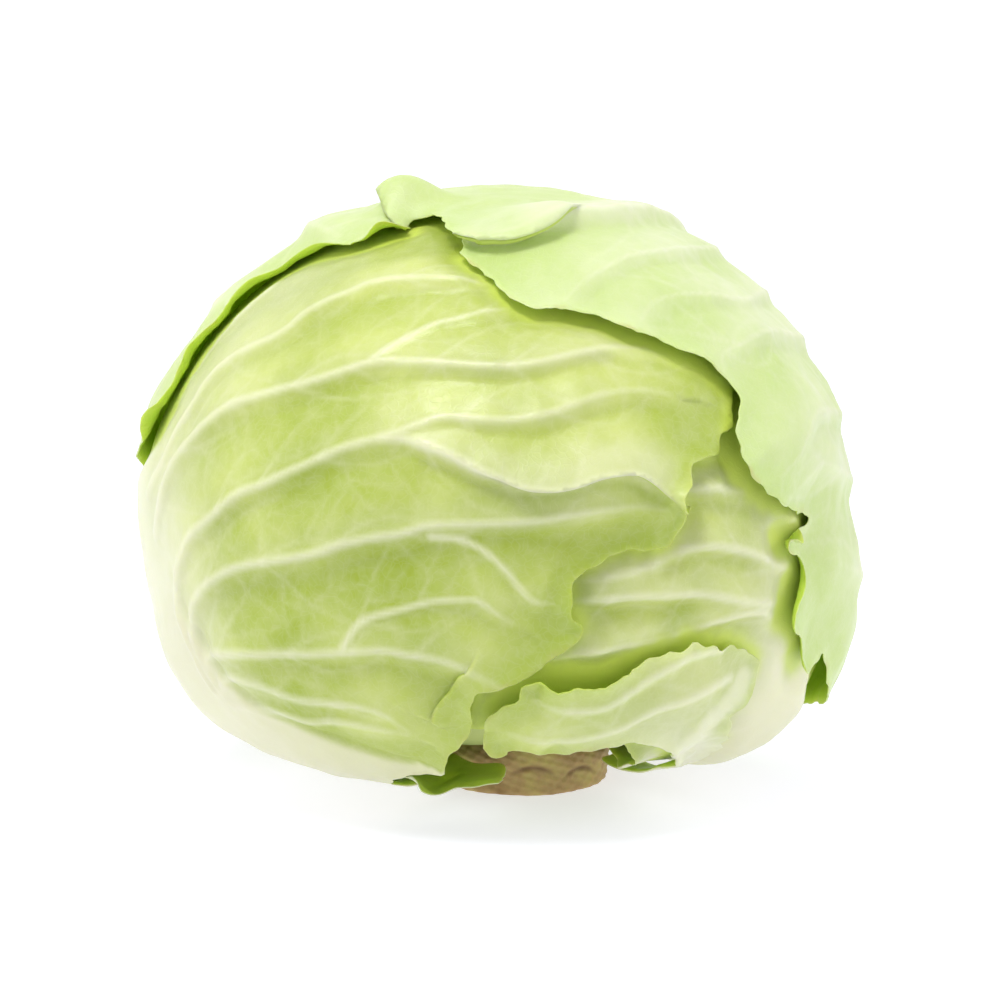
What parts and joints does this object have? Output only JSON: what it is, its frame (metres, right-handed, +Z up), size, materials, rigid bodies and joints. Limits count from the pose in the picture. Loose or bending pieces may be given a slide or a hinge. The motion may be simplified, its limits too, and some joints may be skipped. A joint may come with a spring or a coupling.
{
  "type": "cabbage head",
  "caption": "Trimmed flat-round green cabbage head: cut stem, tight heart and large ribbed outer leaves wrapped one over another.",
  "frame": {"origin": "middle of the stem's flat cut face, which the head rests on", "axes": "+Z up, +X to the right and -Y towards the front, the side where the torn lower leaf shows"},
  "size_m": [0.1928, 0.1856, 0.1569],
  "materials": {
    "stem": "cut fibrous stump with leaf scars, dry and slightly browned",
    "heart": "pale tight inner leaves, soft waxy sheen",
    "leaf": "green waxy leaf with paler veins and a white rib",
    "pale_leaf": "pale green waxy leaf fading to a white rib and veins"
  },
  "bodies": {
    "root": {"stem": "stem", "heart": "heart", "leaf_back": "leaf", "leaf_right": "pale_leaf", "leaf_left": "pale_leaf", "leaf_torn": "pale_leaf", "leaf_cap": "leaf"}
  },
  "joints": []
}
